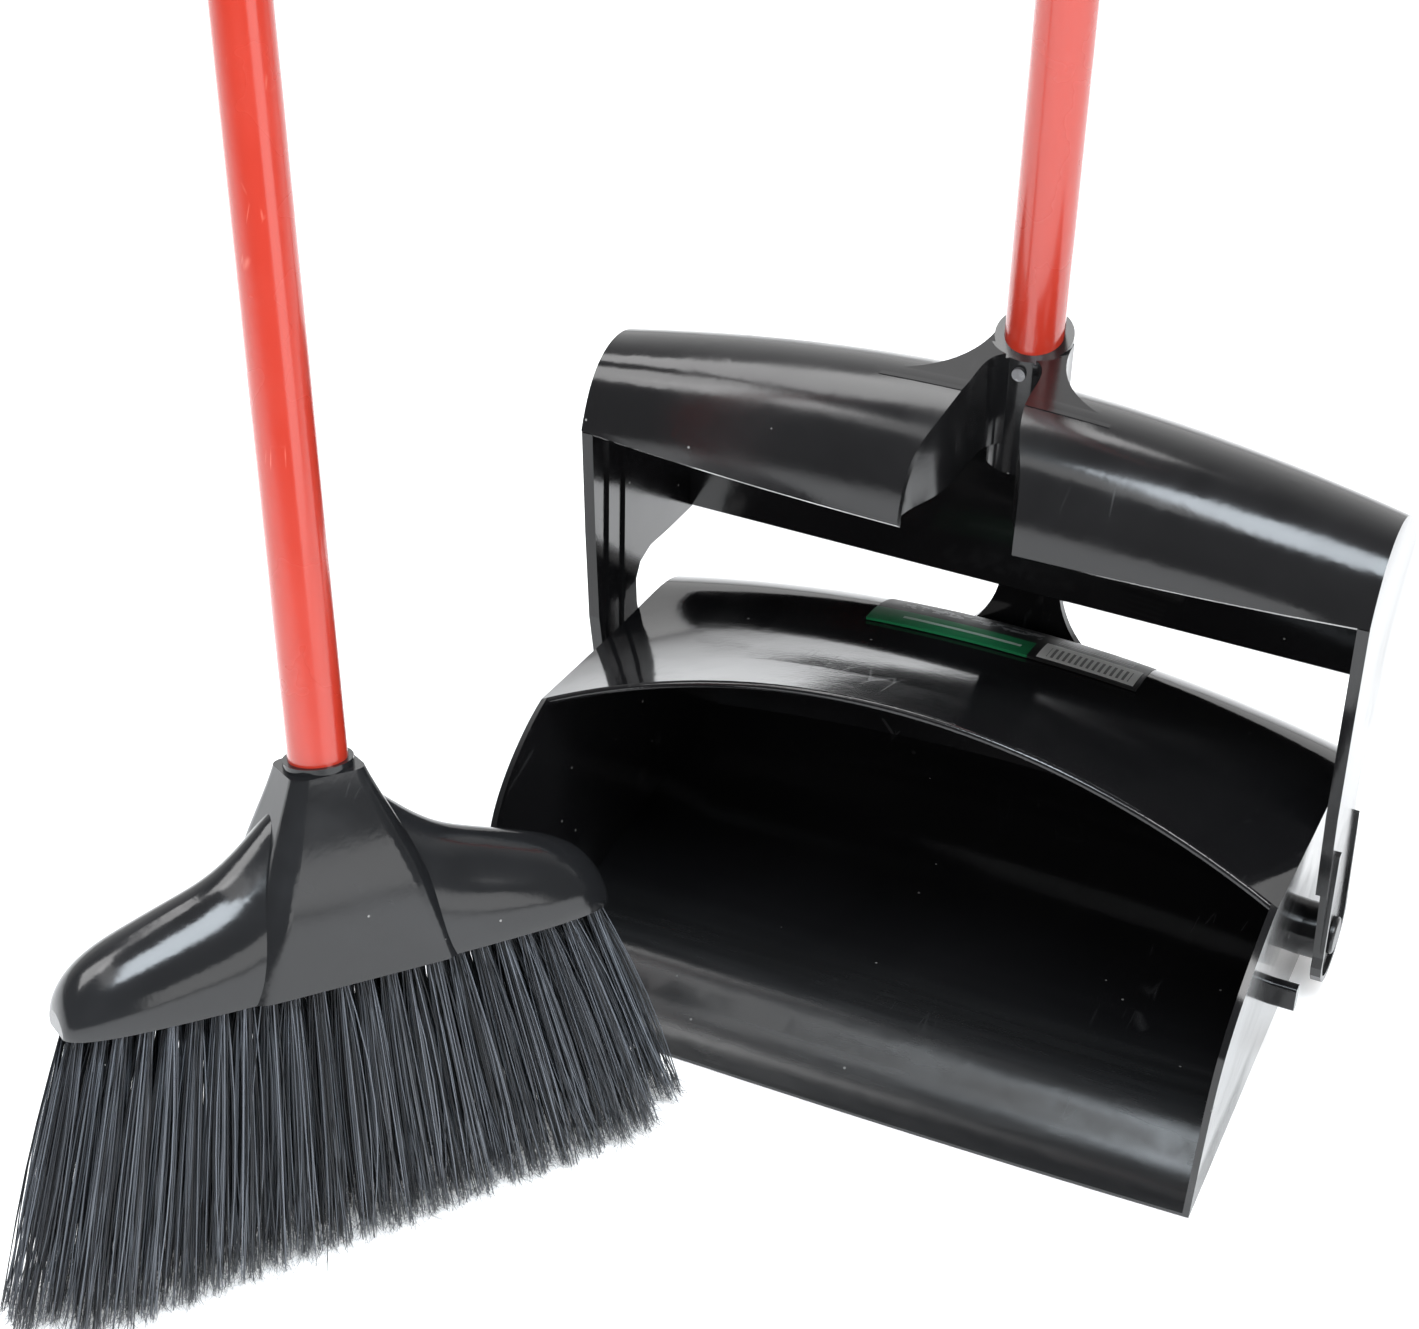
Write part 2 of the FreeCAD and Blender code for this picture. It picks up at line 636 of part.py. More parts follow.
# ---------------------------------------------------------------- broom frame
lean = math.radians(dim("broom_lean"))
lean_heading = math.radians(dim("broom_lean_heading"))
heading = math.radians(dim("broom_heading"))
broom_up = Vector(math.sin(lean) * math.cos(lean_heading),
                  math.sin(lean) * math.sin(lean_heading), math.cos(lean))
level = Vector(math.cos(heading), math.sin(heading), 0)
broom_across = (level - broom_up * level.dot(broom_up)).normalize()
broom_place = Placement(Vector(-dim("broom_left"), -dim("broom_front"), 0),
                        Rotation(broom_across, Vector(), broom_up, "ZXY"))
handle_set("broom", broom_place, dim("broom_tube_bottom"), dim("broom_tube_length"))


# ---------------------------------------------------------------- broom block
BLOCK_STATIONS = (1.0, 0.955, 0.86, 0.72, 0.56, 0.4, 0.26)
BLOCK_TOPS = (100.5, 110.0, 118.0, 124.0, 129.5, 136.0, 146.5)
BLOCK_DEPTHS = (8.0, 13.5, 17.0, 19.0, 20.0, 20.5, 20.5)


def block_section(across, top, depth):
    """Rounded cross-section of one wing: flat underneath, domed on top."""
    bottom = dim("block_bottom")
    tall = top - bottom
    right = [Vector(across, depth * 0.94, bottom), Vector(across, depth, bottom + tall * 0.28),
             Vector(across, depth * 0.72, bottom + tall * 0.74), Vector(across, 0, top)]
    left = [Vector(across, -p.y, p.z) for p in reversed(right)]
    dome = spline(right + left[1:])
    return Part.Wire([dome, line(left[-1], right[0])])


def make_block():
    half = dim("block_half_width")
    bottom = dim("block_bottom")
    socket_top = dim("block_socket_top")
    radius = dim("broom_tube_radius") + dim("broom_socket_wall")
    wing = [block_section(half * share, top, depth)
            for share, top, depth in zip(BLOCK_STATIONS, BLOCK_TOPS, BLOCK_DEPTHS)]
    middle = [block_section(half * share, top, depth)
              for share, top, depth in ((0.15, 155.0, 20.0), (0.0, 156.5, 20.0), (-0.15, 155.0, 20.0))]
    mirror_wing = [block_section(-half * share, top, depth)
                   for share, top, depth in zip(BLOCK_STATIONS[::-1], BLOCK_TOPS[::-1], BLOCK_DEPTHS[::-1])]
    block = Part.makeLoft(wing + middle + mirror_wing, True, False)
    socket = Part.makeCylinder(radius, socket_top - bottom - 8.0, Vector(0, 0, bottom + 8.0))
    block = block.fuse(socket).fuse(panel())
    bore = Part.makeCylinder(dim("broom_tube_radius") + dim("socket_gap"), 90.0,
                             Vector(0, 0, dim("broom_tube_bottom") - 0.5))
    screw_hole = Part.makeCylinder(dim("screw_shank_radius"), 40.0,
                                   Vector(0, 0, dim("broom_screw_height")), Y_AXIS)
    screw_seat = Part.makeCylinder(dim("screw_head_radius") + 0.6, 20.0,
                                   Vector(0, radius, dim("broom_screw_height")), Y_AXIS)
    block = block.cut(bore).cut(screw_hole).cut(screw_seat)
    return block.cut(Part.makeCompound(tuft_holes())).removeSplitter()


def panel():
    """Raised trapezoid that widens from the socket down to the bristles, front and back."""
    bottom = dim("block_bottom")
    radius = dim("broom_tube_radius") + dim("broom_socket_wall")
    rows = ((0.0, 40.0, 21.6), (22.0, 34.0, 22.8), (42.0, 27.0, 21.0), (58.0, 20.0, 17.0),
            (dim("block_socket_top") - bottom - 2.5, radius + 1.2, radius + 0.4))
    wires = []
    for rise, wide, deep in rows:
        z = bottom + rise
        round_off = min(wide, deep) * 0.42
        wires.append(Part.Wire(rounded_rectangle(wide, deep, round_off, z)))
    return Part.makeLoft(wires, True, False)


def rounded_rectangle(wide, deep, corner, height):
    edges = []
    marks = [(wide, deep, 0), (-wide, deep, 90), (-wide, -deep, 180), (wide, -deep, 270)]
    ends = []
    for x, y, start in marks:
        centre = Vector(x - math.copysign(corner, x), y - math.copysign(corner, y), height)
        circle = Part.Circle(centre, Z_AXIS, corner)
        arc = Part.ArcOfCircle(circle, math.radians(start), math.radians(start + 90))
        edges.append(arc.toShape())
        ends.append((arc.StartPoint, arc.EndPoint))
    joined = []
    for index, edge in enumerate(edges):
        joined.append(edge)
        joined.append(line(ends[index][1], ends[(index + 1) % 4][0]))
    return joined


def tuft_roots():
    """Where each tuft leaves the block: (row, across, depth). The outer rows are shorter and staggered."""
    columns = int(dim("tuft_columns"))
    rows = int(dim("tuft_rows"))
    span = dim("block_half_width") - dim("tuft_end_margin")
    for row in range(rows):
        depth = (row - (rows - 1) / 2) * dim("tuft_row_pitch")
        missing = 0 if row in (1, 2) else int(dim("tuft_outer_missing"))
        for column in range(columns - missing):
            share = -1 + 2 * (column + 0.5 * missing) / (columns - 1)
            yield row, share * span, depth


def tuft_holes():
    top = dim("block_bottom")
    return [Part.makeCylinder(dim("tuft_hole_radius"), dim("tuft_hole_depth") + 1.0, Vector(x, y, top - 1.0))
            for row, x, y in tuft_roots()]


def floor_below():
    """Everything under the floor, in the broom's own frame."""
    slab = Part.makeBox(900, 900, 200, Vector(-450, -450, -200))
    slab.Placement = broom_place.inverse()
    return slab


def tuft(x, y):
    """One bundle of bristles, from its hole down to the floor, splayed outwards."""
    top = dim("block_bottom") + dim("tuft_hole_depth") - 2.0
    spread = dim("sweep_half_width") / dim("block_half_width")
    root = Vector(x, y, top)
    neck = Vector(x, y, dim("block_bottom") - 1.0)
    tip = Vector(x * spread, y * 1.35, -14.0)
    slim = dim("tuft_radius")
    rings = []
    for centre, radius in ((root, slim), (neck, slim), (tip, slim * 1.45)):
        turns = [math.radians(degrees) for degrees in range(0, 405, 45)]
        corners = [centre + Vector(radius * math.cos(turn), radius * math.sin(turn), 0) for turn in turns]
        rings.append(Part.makePolygon(corners))
    return Part.makeLoft(rings, True, True)


shape_node("broom_block", make_block(), broom_place)
ROW_NAMES = ("tufts_front", "tufts_middle_front", "tufts_middle_back", "tufts_back")
under_floor = floor_below()
for number, name in enumerate(ROW_NAMES):
    bundles = [tuft(x, y).cut(under_floor) for row, x, y in tuft_roots() if row == number]
    shape_node(name, Part.makeCompound(bundles), broom_place)
staple_height = dim("block_bottom") + dim("tuft_hole_depth") - 1.8
staples = [Part.makeBox(4.6, 1.0, 1.2, Vector(x - 2.3, y - 0.5, staple_height))
           for row, x, y in tuft_roots()]
shape_node("tuft_staples", Part.makeCompound(staples), broom_place)
pan_screw_seat = Vector(0, -dim("pan_tube_radius") - dim("socket_wall"), dim("screw_height"))
screw("pan_handle_screw", Placement(pan_screw_seat, Rotation(X_AXIS, 90)))
broom_screw_seat = Vector(0, dim("broom_tube_radius") + dim("broom_socket_wall"), dim("broom_screw_height"))
screw("broom_handle_screw", broom_place.multiply(Placement(broom_screw_seat, Rotation(X_AXIS, -90))))
doc.recompute()

# ---------------------------------------------------------------- checks and export
for item in doc.Objects:
    if "Invalid" in item.State or "Error" in item.State:
        raise RuntimeError("%s did not recompute: %s" % (item.Label, item.State))
os.makedirs("parts", exist_ok=True)
for node in nodes:
    if node.Shape.isNull() or not node.Shape.isValid():
        raise RuntimeError("%s has no valid shape" % node.Label)
    node.Shape.exportStep("parts/%s.step" % node.Label)
    print(node.Label, len(node.Shape.Solids), "solid(s)")
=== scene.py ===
import math
import random
import bpy
from mathutils import Matrix, Vector


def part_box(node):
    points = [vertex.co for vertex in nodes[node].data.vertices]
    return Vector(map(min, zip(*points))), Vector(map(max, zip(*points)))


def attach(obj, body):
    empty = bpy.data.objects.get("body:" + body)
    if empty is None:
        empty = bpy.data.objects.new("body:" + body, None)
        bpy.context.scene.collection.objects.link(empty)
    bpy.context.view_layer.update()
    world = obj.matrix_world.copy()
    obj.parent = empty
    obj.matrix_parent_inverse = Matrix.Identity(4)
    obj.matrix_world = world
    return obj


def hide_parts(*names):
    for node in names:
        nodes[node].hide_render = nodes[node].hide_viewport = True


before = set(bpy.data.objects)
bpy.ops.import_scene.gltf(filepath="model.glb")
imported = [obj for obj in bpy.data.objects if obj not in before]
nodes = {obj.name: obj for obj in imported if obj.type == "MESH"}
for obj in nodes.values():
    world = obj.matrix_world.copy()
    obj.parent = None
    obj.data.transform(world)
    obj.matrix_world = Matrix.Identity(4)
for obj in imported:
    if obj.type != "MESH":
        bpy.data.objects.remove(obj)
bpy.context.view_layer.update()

scene = bpy.context.scene

MM = 0.001
FLOOR_EXTENT = 6.0
FLOOR_BACK = 8.0
FLOOR_DROP = 0.0006

# ---------------------------------------------------------------- camera
YAW = math.radians(22.48)
PITCH = math.radians(36.19)
ROLL = math.radians(-1.66)
EYE = Vector((0.27287, -0.96385, 0.81244))
FOCAL_LENGTH = 78.46
SENSOR_WIDTH = 36
forward = Vector((-math.sin(YAW) * math.cos(PITCH),
                  math.cos(YAW) * math.cos(PITCH),
                  -math.sin(PITCH)))
level = Vector((math.cos(YAW), math.sin(YAW), 0))
down = forward.cross(level)
right = level * math.cos(ROLL) + down * math.sin(ROLL)
up = level * math.sin(ROLL) - down * math.cos(ROLL)
camera = bpy.data.objects.new("camera", bpy.data.cameras.new("camera"))
camera.data.sensor_width = SENSOR_WIDTH
camera.data.lens = FOCAL_LENGTH
camera.data.clip_end = 50
camera.matrix_world = Matrix((
    (right.x, up.x, -forward.x, EYE.x),
    (right.y, up.y, -forward.y, EYE.y),
    (right.z, up.z, -forward.z, EYE.z),
    (0, 0, 0, 1)))
scene.collection.objects.link(camera)
scene.camera = camera


# ---------------------------------------------------------------- node helpers
class Nodes:
    """Short way to build one material's node tree."""

    def __init__(self, name):
        self.material = bpy.data.materials.new(name)
        self.material.use_nodes = True
        self.tree = self.material.node_tree
        self.tree.nodes.clear()
        self.out = self.tree.nodes.new("ShaderNodeOutputMaterial")
        self.shader = self.tree.nodes.new("ShaderNodeBsdfPrincipled")
        self.link(self.shader, "BSDF", self.out, "Surface")
        self.place = self.tree.nodes.new("ShaderNodeTexCoord").outputs["Object"]

    def link(self, source, output, target, socket):
        self.tree.links.new(source.outputs[output], target.inputs[socket])

    def set(self, **values):
        for key, value in values.items():
            self.shader.inputs[key.replace("_", " ")].default_value = value

    def add(self, kind, **settings):
        node = self.tree.nodes.new("ShaderNode" + kind)
        for key, value in settings.items():
            setattr(node, key, value)
        return node

    def feed(self, socket, value):
        if isinstance(value, (int, float, tuple)):
            socket.default_value = value
        else:
            self.tree.links.new(value, socket)

    def math(self, operation, a, b=0.0, clamp=False):
        node = self.add("Math", operation=operation, use_clamp=clamp)
        self.feed(node.inputs[0], a)
        self.feed(node.inputs[1], b)
        return node.outputs[0]

    def scaled(self, scale, place=None, turn=(0, 0, 0)):
        node = self.add("Mapping")
        self.feed(node.inputs["Vector"], place or self.place)
        node.inputs["Scale"].default_value = scale
        node.inputs["Rotation"].default_value = turn
        return node.outputs[0]

    def noise(self, scale, detail=3.0, rough=0.5, place=None, warp=0.0):
        node = self.add("TexNoise")
        self.feed(node.inputs["Vector"], place or self.place)
        node.inputs["Scale"].default_value = scale
        node.inputs["Detail"].default_value = detail
        node.inputs["Roughness"].default_value = rough
        node.inputs["Distortion"].default_value = warp
        return node.outputs["Fac"]

    def band(self, value, low, high, out_low=0.0, out_high=1.0):
        node = self.add("MapRange")
        node.clamp = True
        self.feed(node.inputs["Value"], value)
        limits = {"From Min": low, "From Max": high, "To Min": out_low, "To Max": out_high}
        for key, number in limits.items():
            node.inputs[key].default_value = number
        return node.outputs["Result"]

    def mix(self, share, a, b):
        node = self.add("Mix", data_type="RGBA")
        self.feed(node.inputs["Factor"], share)
        self.feed(node.inputs["A"], a if not isinstance(a, tuple) else (*a[:3], 1))
        self.feed(node.inputs["B"], b if not isinstance(b, tuple) else (*b[:3], 1))
        return node.outputs["Result"]

    def specks(self, scale, size, seed=0.0):
        """Small round dots, scattered and sparse."""
        cell = self.add("TexVoronoi")
        turn = (seed, seed * 0.7, seed * 1.3)
        self.feed(cell.inputs["Vector"], self.scaled((scale, scale, scale), turn=turn))
        cell.inputs["Scale"].default_value = 1.0
        colour = self.add("SeparateColor")
        self.link(cell, "Color", colour, "Color")
        chosen = self.math("GREATER_THAN", colour.outputs[0], 0.82)
        dot = self.band(cell.outputs["Distance"], size, size * 0.6)
        return self.math("MULTIPLY", dot, chosen)

    def scratches(self, scale, turn, thin=0.03, share=0.6):
        """Fine straight scratches, in stretched cells, broken up by noise."""
        cell = self.add("TexVoronoi", feature="DISTANCE_TO_EDGE")
        self.feed(cell.inputs["Vector"], self.scaled((scale, scale * 0.09, scale * 0.3), turn=turn))
        cell.inputs["Scale"].default_value = 1.0
        mark = self.band(cell.outputs["Distance"], thin, 0.0)
        broken = self.band(self.noise(scale * 0.35, 2.0), share, share + 0.06)
        return self.math("MULTIPLY", mark, broken)

    def bump(self, height, strength, distance=0.001, normal=None):
        node = self.add("Bump")
        self.feed(node.inputs["Height"], height)
        node.inputs["Strength"].default_value = strength
        node.inputs["Distance"].default_value = distance
        if normal:
            self.feed(node.inputs["Normal"], normal)
        return node.outputs["Normal"]

    def drive(self, socket, value):
        self.feed(self.shader.inputs[socket], value)


RAMP_TOP = (0.030, 0.020)
RAMP_BACK = (-0.085, -0.115)


def moulded_plastic(name, base, worn, rough_low, rough_high, grain, scuff_scale, dust=1.0, ramp=False):
    """Injection-moulded plastic: flow-mark waviness, hazy patches worn by rubbing, fine scratches and
    dust.

    With ramp, the scoop's ramp is also worn dull by rubbing in streaks along its width, and that band is
    made lighter grey: partly wear, partly a painted sheen standing in for the ramp's reflection band.
    """
    n = Nodes(name)
    haze = n.band(n.noise(9.0, 4.0, 0.6, warp=0.6), 0.45, 0.75)
    fine = n.noise(420.0, 2.0)
    first_marks = n.scratches(scuff_scale, (0.3, 0.2, 0.5))
    second_marks = n.scratches(scuff_scale * 0.7, (0.1, 0.9, 2.1))
    marks = n.math("MAXIMUM", first_marks, second_marks)
    marks = n.math("MULTIPLY", marks, n.band(n.noise(14.0, 2.0), 0.55, 0.68, 0.0, 0.3))
    dots = n.math("MULTIPLY", n.specks(95.0, 0.055), dust, True)
    lint = n.math("MULTIPLY", n.specks(41.0, 0.05, 1.7), dust, True)
    seen = n.math("MAXIMUM", dots, lint)
    colour = n.mix(n.math("MULTIPLY", haze, 0.35), base, worn)
    colour = n.mix(n.math("MULTIPLY", marks, 0.45, True), colour, (0.16, 0.16, 0.165))
    colour = n.mix(n.math("MULTIPLY", seen, 0.55, True), colour, (0.34, 0.34, 0.33))
    rough = n.math("ADD", n.band(haze, 0.0, 1.0, rough_low, rough_high), n.math("MULTIPLY", marks, 0.3))
    if ramp:
        axes = n.add("SeparateXYZ")
        n.feed(axes.inputs[0], n.place)
        streaks = n.noise(1.0, 4.0, 0.65, n.scaled((11.0, 150.0, 150.0)))
        low_enough = n.band(axes.outputs["Z"], *RAMP_TOP)
        wear_and_sheen_band = n.math("MULTIPLY", low_enough, n.band(axes.outputs["Y"], *RAMP_BACK))
        rough = n.math("ADD", rough, n.math("MULTIPLY", wear_and_sheen_band, n.band(streaks, 0.35, 0.65, 0.13, 0.19)))
        # Painted sheen: the worn band on the ramp is made lighter grey, partly as wear and partly as a
        # painted reflection band across the ramp's crest.
        wear_and_sheen_grey = n.math("MULTIPLY", wear_and_sheen_band, n.band(streaks, 0.4, 0.7, 0.3, 0.6))
        colour = n.mix(wear_and_sheen_grey, colour, (0.022, 0.023, 0.024))
    n.drive("Base Color", colour)
    n.drive("Roughness", n.math("ADD", rough, n.math("MULTIPLY", seen, 0.4), True))
    wavy = n.bump(n.noise(26.0, 1.5, 0.4), 0.07, 0.002)
    relief = n.math("ADD", n.math("MULTIPLY", fine, grain), n.math("MULTIPLY", marks, -0.5))
    n.drive("Normal", n.bump(relief, 0.1, 0.0003, wavy))
    n.set(IOR=1.5, Specular_IOR_Level=0.5)
    return n


pan_plastic = moulded_plastic("pan_gloss_black", (0.0055, 0.0055, 0.006), (0.012, 0.012, 0.013),
                              0.075, 0.2, 0.4, 120.0, ramp=True)
yoke_plastic = moulded_plastic("yoke_gloss_black", (0.007, 0.007, 0.0075), (0.016, 0.016, 0.017),
                               0.12, 0.3, 0.6, 90.0)
block_plastic = moulded_plastic("block_satin_black", (0.010, 0.0105, 0.0115), (0.030, 0.032, 0.036),
                                0.13, 0.27, 1.0, 110.0, dust=1.2)
cap_plastic = moulded_plastic("cap_satin_black", (0.013, 0.013, 0.014), (0.022, 0.022, 0.023),
                              0.35, 0.5, 1.6, 150.0)
plug_plastic = moulded_plastic("plug_grey", (0.05, 0.05, 0.05), (0.08, 0.08, 0.08),
                               0.45, 0.6, 1.6, 150.0)


def red_paint():
    n = Nodes("red_powder_coat")
    mottle = n.noise(30.0, 3.0)
    patches = n.band(n.noise(22.0, 2.0), 0.5, 0.6)
    scuff = n.math("MULTIPLY", n.scratches(150.0, (0.2, 0.1, 0.4), 0.035), patches)
    chips = n.specks(60.0, 0.05, 0.6)
    colour = n.mix(mottle, (0.385, 0.027, 0.014), (0.43, 0.034, 0.018))
    colour = n.mix(n.math("MULTIPLY", scuff, 0.5), colour, (0.82, 0.30, 0.22))
    colour = n.mix(n.math("MULTIPLY", chips, 0.7), colour, (0.2, 0.03, 0.02))
    n.drive("Base Color", colour)
    n.drive("Roughness", n.band(mottle, 0.3, 0.7, 0.2, 0.34))
    n.drive("Normal", n.bump(n.noise(260.0, 2.0), 0.12, 0.0004))
    n.set(Coat_Weight=0.6, Coat_Roughness=0.12, IOR=1.5)
    return n


def steel(name, base):
    n = Nodes(name)
    n.drive("Base Color", n.mix(n.noise(300.0, 3.0), base, tuple(c * 0.6 for c in base)))
    n.drive("Roughness", n.band(n.noise(500.0, 2.0), 0.3, 0.7, 0.25, 0.45))
    n.drive("Normal", n.bump(n.noise(900.0, 2.0), 0.2, 0.0002))
    n.set(Metallic=1.0)
    return n


def bristle_material():
    n = Nodes("bristle_filament")
    strand = n.add("Attribute", attribute_name="strand", attribute_type="GEOMETRY")
    along = n.add("Attribute", attribute_name="along", attribute_type="GEOMETRY")
    light = n.math("POWER", strand.outputs["Fac"], 2.2)
    colour = n.mix(light, (0.009, 0.010, 0.012), (0.15, 0.165, 0.19))
    colour = n.mix(n.band(along.outputs["Fac"], 0.80, 1.0, 0.0, 0.7), colour, (0.27, 0.28, 0.29))
    n.drive("Base Color", colour)
    n.drive("Roughness", n.band(along.outputs["Fac"], 0.7, 1.0, 0.32, 0.7))
    n.drive("Normal", n.bump(n.noise(900.0, 2.0), 0.2, 0.0002))
    return n


def label_material():
    """Generic wordless sticker: dark band, green band, pale panel with plain lines."""
    n = Nodes("label_film")
    axes = n.add("SeparateXYZ")
    n.feed(axes.inputs[0], n.place)
    low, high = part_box("pan_label")
    along = n.band(axes.outputs["X"], low.x, high.x)
    across = n.band(axes.outputs["Y"], low.y, high.y)

    def inside(value, start, end):
        return n.math("MULTIPLY", n.math("GREATER_THAN", value, start), n.math("LESS_THAN", value, end))

    def patch(u0, u1, v0, v1):
        return n.math("MULTIPLY", inside(along, u0, u1), inside(across, v0, v1))

    def stripes(value, count, width):
        return n.math("LESS_THAN", n.math("FRACT", n.math("MULTIPLY", value, count)), width)

    green = patch(0.0, 0.60, 0.0, 0.40)
    panel = patch(0.63, 0.985, 0.05, 0.52)
    bars = n.math("MULTIPLY", patch(0.66, 0.96, 0.12, 0.40), stripes(along, 46.0, 0.45))
    rule = n.math("MULTIPLY", patch(0.12, 0.56, 0.12, 0.30), inside(across, 0.18, 0.24))
    blots = n.math("GREATER_THAN", n.noise(260.0, 2.0), 0.5)
    title = n.math("MULTIPLY", patch(0.08, 0.60, 0.56, 0.80), blots)
    lines = n.math("MULTIPLY", patch(0.66, 0.94, 0.62, 0.92), stripes(across, 16.0, 0.4))
    colour = n.mix(green, (0.012, 0.012, 0.012), (0.010, 0.15, 0.055))
    colour = n.mix(n.math("MULTIPLY", rule, 0.6), colour, (0.55, 0.6, 0.55))
    colour = n.mix(n.math("MULTIPLY", title, 0.35), colour, (0.5, 0.5, 0.5))
    colour = n.mix(n.math("MULTIPLY", lines, 0.4), colour, (0.5, 0.5, 0.5))
    colour = n.mix(panel, colour, (0.80, 0.80, 0.78))
    colour = n.mix(n.math("MULTIPLY", bars, 0.8), colour, (0.05, 0.05, 0.05))
    n.drive("Base Color", colour)
    n.drive("Roughness", n.band(n.noise(120.0), 0.3, 0.7, 0.42, 0.52))
    n.drive("Normal", n.bump(n.noise(80.0, 2.0), 0.15, 0.0004))
    return n


def paint(node, made):
    mesh = nodes[node].data
    if not mesh.materials:
        mesh.materials.append(made.material)
    for index in range(len(mesh.materials)):
        mesh.materials[index] = made.material
    for slot in nodes[node].material_slots:
        slot.material = made.material


red = red_paint()
screw_steel = steel("screw_zinc", (0.32, 0.32, 0.33))
staple_steel = steel("staple_wire", (0.5, 0.5, 0.52))
bristle = bristle_material()
for name, made in {
        "pan_shell": pan_plastic, "pan_label": label_material(), "pivot_pin_right": yoke_plastic,
        "pivot_pin_left": yoke_plastic, "yoke_lid": yoke_plastic, "pan_handle_tube": red,
        "pan_handle_plug": plug_plastic, "pan_handle_screw": screw_steel, "pan_hang_cap": cap_plastic,
        "broom_block": block_plastic, "tufts_front": bristle, "tufts_middle_front": bristle,
        "tufts_middle_back": bristle, "tufts_back": bristle, "tuft_staples": staple_steel,
        "broom_handle_tube": red, "broom_handle_plug": plug_plastic, "broom_handle_screw": screw_steel,
        "broom_hang_cap": cap_plastic}.items():
    paint(name, made)

# ---------------------------------------------------------------- bristles
LEAN = math.radians(17)
LEAN_HEADING = math.radians(128.2)
BROOM_HEADING = math.radians(51.9)
BROOM_BASE = Vector((-136.2, -286.8, 0)) * MM
ROW_PITCH = 8.2
COLUMNS = 23
OUTER_ROW_MISSING = 3
ROW_HALF_SPAN = 101.0 - 6.5
ROOT_HEIGHT = 96.0
BELOW_FLOOR = -14.0
SPREAD_ACROSS = 1.356
SPREAD_BACK = 1.42
HAIRS_PER_TUFT = 52
SPLITS_PER_HAIR = 3
HAIR_STEPS = 6
HAIR_CORNERS = 3
LOWEST_TIP = 0.0006
LOWEST_BEND = 0.0012

axis_up = Vector((math.sin(LEAN) * math.cos(LEAN_HEADING),
                  math.sin(LEAN) * math.sin(LEAN_HEADING),
                  math.cos(LEAN)))
axis_across = Vector((math.cos(BROOM_HEADING), math.sin(BROOM_HEADING), 0))
axis_across = (axis_across - axis_up * axis_across.dot(axis_up)).normalized()
axis_back = axis_up.cross(axis_across)
dice = random.Random(41)


def broom_point(across, back, height):
    """A point of the broom's own frame, given in millimetres."""
    return BROOM_BASE + (axis_across * across + axis_back * back + axis_up * height) * MM


def tuft_roots(row):
    """Where the tufts of one row leave the block, across and back; the outer rows are shorter."""
    missing = OUTER_ROW_MISSING if row in (0, 3) else 0
    for column in range(COLUMNS - missing):
        share = -1 + 2 * (column + 0.5 * missing) / (COLUMNS - 1)
        yield share * ROW_HALF_SPAN, (row - 1.5) * ROW_PITCH


def hair(points, radii, verts, faces, strand, along, tone, start, end):
    """A thin three-sided tube along points, closed at its tip."""
    first = len(verts)
    for step, (point, radius) in enumerate(zip(points, radii)):
        ahead = points[min(step + 1, len(points) - 1)] - points[max(step - 1, 0)]
        side = ahead.cross(axis_back).normalized()
        other = ahead.cross(side).normalized()
        for corner in range(HAIR_CORNERS):
            turn = corner * math.tau / HAIR_CORNERS + tone
            verts.append(point + side * (math.cos(turn) * radius) + other * (math.sin(turn) * radius))
            strand.append(tone)
            along.append(start + (end - start) * step / (len(points) - 1))
    for step in range(len(points) - 1):
        ring = first + step * HAIR_CORNERS
        for corner in range(HAIR_CORNERS):
            a, b = ring + corner, ring + (corner + 1) % HAIR_CORNERS
            faces.append((a, b, b + HAIR_CORNERS, a + HAIR_CORNERS))
    last = first + (len(points) - 1) * HAIR_CORNERS
    faces.append((last, last + 1, last + 2))


def filament(x, y, lift, verts, faces, strand, along):
    """One bristle from its tuft hole to the floor, with a split, frayed tip."""
    turn, share = dice.uniform(0, math.tau), math.sqrt(dice.random())
    dx, dy = math.cos(turn) * share, math.sin(turn) * share
    root = broom_point(x + dx * 2.6, y + dy * 2.6, ROOT_HEIGHT)
    stray = 1.0 if dice.random() > 0.03 else dice.uniform(1.5, 3.2)
    reach_x = x * SPREAD_ACROSS + dx * 6.0 * stray + dice.gauss(0, 0.9)
    reach_y = y * SPREAD_BACK + dy * 5.6 * stray + dice.gauss(0, 1.0)
    tip = broom_point(reach_x, reach_y, BELOW_FLOOR)
    aim = tip - root
    stop = min(1.0, (root.z - lift) / max(root.z - tip.z, 1e-6))
    tip = root + aim * stop
    bow = Vector((dice.gauss(0, 1), dice.gauss(0, 1), 0)) * (1.5 * MM)
    tone = dice.random()
    points = []
    for step in range(HAIR_STEPS + 1):
        t = step / HAIR_STEPS
        swell = axis_back * (dy * 1.2 * MM * math.sin(t * 3))
        points.append(root.lerp(tip, t) + bow * math.sin(t * math.pi) + swell)
    fat = dice.uniform(0.21, 0.30) * MM
    radii = [fat] * (HAIR_STEPS - 1) + [fat * 0.95, fat * 0.8]
    hair(points, radii, verts, faces, strand, along, tone, 0.0, 0.86)
    heading = (points[-1] - points[-2]).normalized()
    for split in range(SPLITS_PER_HAIR):
        kink = Vector((dice.gauss(0, 1), dice.gauss(0, 1), dice.gauss(0, 0.4))) * 0.34
        length = dice.uniform(4.0, 9.0) * MM
        start = points[-2].lerp(points[-1], dice.uniform(0.55, 0.95))
        bend = start + (heading + kink * 0.6) * length * 0.5
        end = bend + (heading + kink * 1.5) * length * 0.6
        bend.z = max(bend.z, LOWEST_BEND)
        end.z = max(end.z, LOWEST_TIP + dice.random() * LOWEST_TIP)
        thin = fat * 0.34
        radii = [thin, thin * 0.8, thin * 0.5]
        hair([start, bend, end], radii, verts, faces, strand, along, tone, 0.9, 1.0)


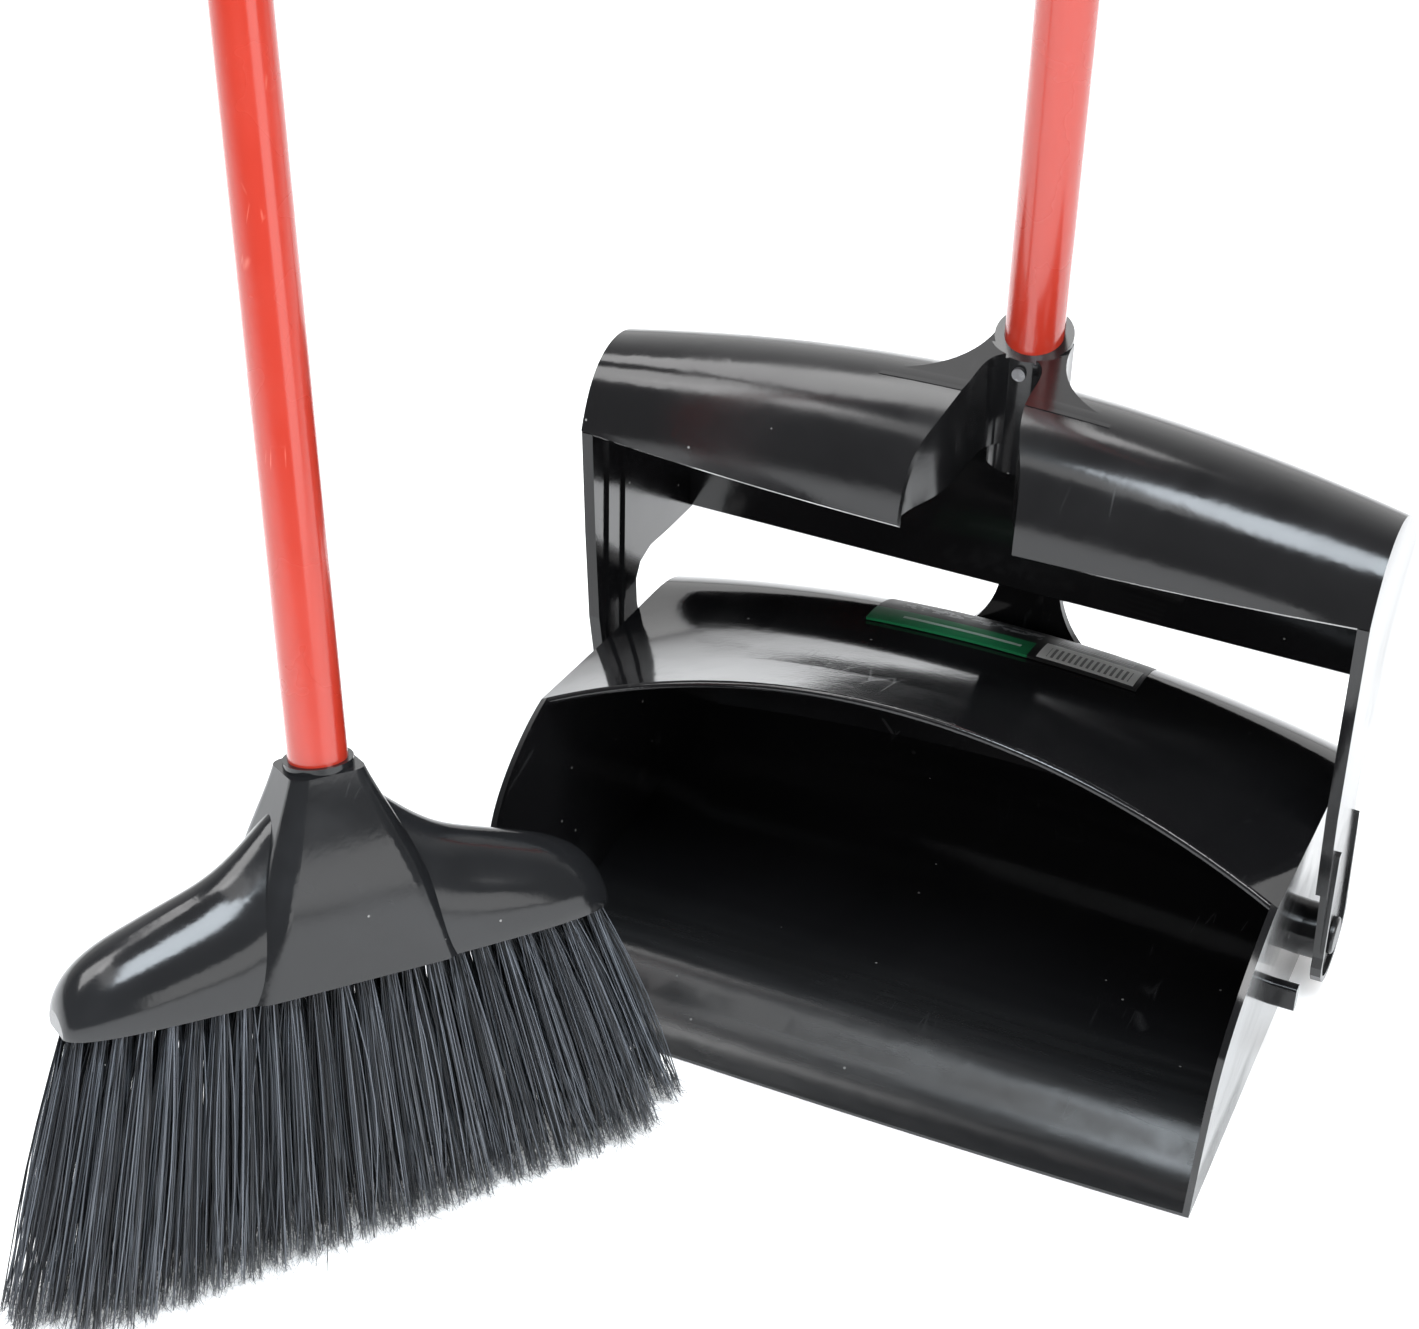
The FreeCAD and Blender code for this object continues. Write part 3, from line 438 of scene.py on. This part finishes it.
def bristle_row(name, row, node):
    """All the bristles of one row as one mesh, which stands for that row's solid tufts."""
    verts, faces, strand, along = [], [], [], []
    for x, y in tuft_roots(row):
        ragged = dice.uniform(-0.4, 1.6)
        for count in range(HAIRS_PER_TUFT):
            lift = (1.2 + max(0.0, ragged + dice.gauss(0.6, 1.3))) * MM
            filament(x, y, lift, verts, faces, strand, along)
    mesh = bpy.data.meshes.new(name)
    mesh.from_pydata([tuple(v) for v in verts], [], faces)
    mesh.attributes.new("strand", "FLOAT", "POINT").data.foreach_set("value", strand)
    mesh.attributes.new("along", "FLOAT", "POINT").data.foreach_set("value", along)
    mesh.materials.append(bristle.material)
    mesh.shade_smooth()
    piece = bpy.data.objects.new(name, mesh)
    scene.collection.objects.link(piece)
    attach(piece, "broom")
    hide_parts(node)


for number, node in enumerate(("tufts_front", "tufts_middle_front", "tufts_middle_back", "tufts_back")):
    bristle_row("bristles_" + node[6:], number, node)

# ---------------------------------------------------------------- floor and light
floor_mesh = bpy.data.meshes.new("floor")
corners = [(-FLOOR_EXTENT, -FLOOR_EXTENT), (FLOOR_EXTENT, -FLOOR_EXTENT),
           (FLOOR_EXTENT, FLOOR_BACK), (-FLOOR_EXTENT, FLOOR_BACK)]
floor_mesh.from_pydata([(x, y, -FLOOR_DROP) for x, y in corners], [], [(0, 1, 2, 3)])
floor = bpy.data.objects.new("floor", floor_mesh)
scene.collection.objects.link(floor)
pale = Nodes("pale_floor")
pale.drive("Base Color", pale.mix(pale.noise(3.0), (0.90, 0.90, 0.91), (0.93, 0.93, 0.93)))
pale.set(Roughness=0.7, Emission_Color=(1, 1, 1, 1), Emission_Strength=0.22)
floor_mesh.materials.append(pale.material)

world = bpy.data.worlds.new("studio")
scene.world = world
world.use_nodes = True
sky = world.node_tree
backdrop = sky.nodes["Background"]
ray = sky.nodes.new("ShaderNodeTexCoord")
toward = sky.nodes.new("ShaderNodeVectorMath")
toward.operation = "DOT_PRODUCT"
toward.inputs[1].default_value = (-0.25, 0.93, -0.25)
fade = sky.nodes.new("ShaderNodeMapRange")
fade.inputs["From Min"].default_value = 0.1
fade.inputs["From Max"].default_value = 0.75
fade.inputs["To Min"].default_value = 0.16
fade.inputs["To Max"].default_value = 1.15
sky.links.new(ray.outputs["Generated"], toward.inputs[0])
sky.links.new(toward.outputs["Value"], fade.inputs["Value"])
sky.links.new(fade.outputs["Result"], backdrop.inputs["Strength"])
backdrop.inputs["Color"].default_value = (1, 1, 1, 1)


def softbox(name, place, target, size, power, height=None):
    data = bpy.data.lights.new(name, "AREA")
    data.shape = "RECTANGLE"
    data.size = size
    data.size_y = height or size
    data.energy = power
    lamp = bpy.data.objects.new(name, data)
    scene.collection.objects.link(lamp)
    lamp.location = place
    lamp.rotation_euler = (Vector(target) - Vector(place)).to_track_quat("-Z", "Y").to_euler()
    return lamp


softbox("key_left", (-1.5, -0.7, 1.9), (0, -0.1, 0.1), 0.8, 20, 1.3)
softbox("key_right", (1.5, -0.5, 1.9), (0, -0.1, 0.1), 0.9, 34, 1.4)
softbox("overhead", (-0.6, -1.05, 2.15), (0, -0.1, 0.1), 1.6, 4, 0.4)
softbox("top_back", (-0.8, 0.6, 2.1), (-0.05, -0.1, 0.1), 1.4, 24, 0.9)
softbox("right_wall", (2.2, -1.2, 0.55), (-0.1, -0.2, 0.1), 1.6, 10, 0.9)
window = softbox("window", (0.30, -0.90, 2.1), (-0.17, -0.33, 0.11), 0.85, 34, 0.85)
window.data.color = (0.84, 0.93, 1.0)
fill = softbox("front_fill", (0.2, -2.6, 1.3), (0, 0, 0.1), 1.4, 30, 0.8)
fill.visible_glossy = False
scene.view_settings.view_transform = "Standard"
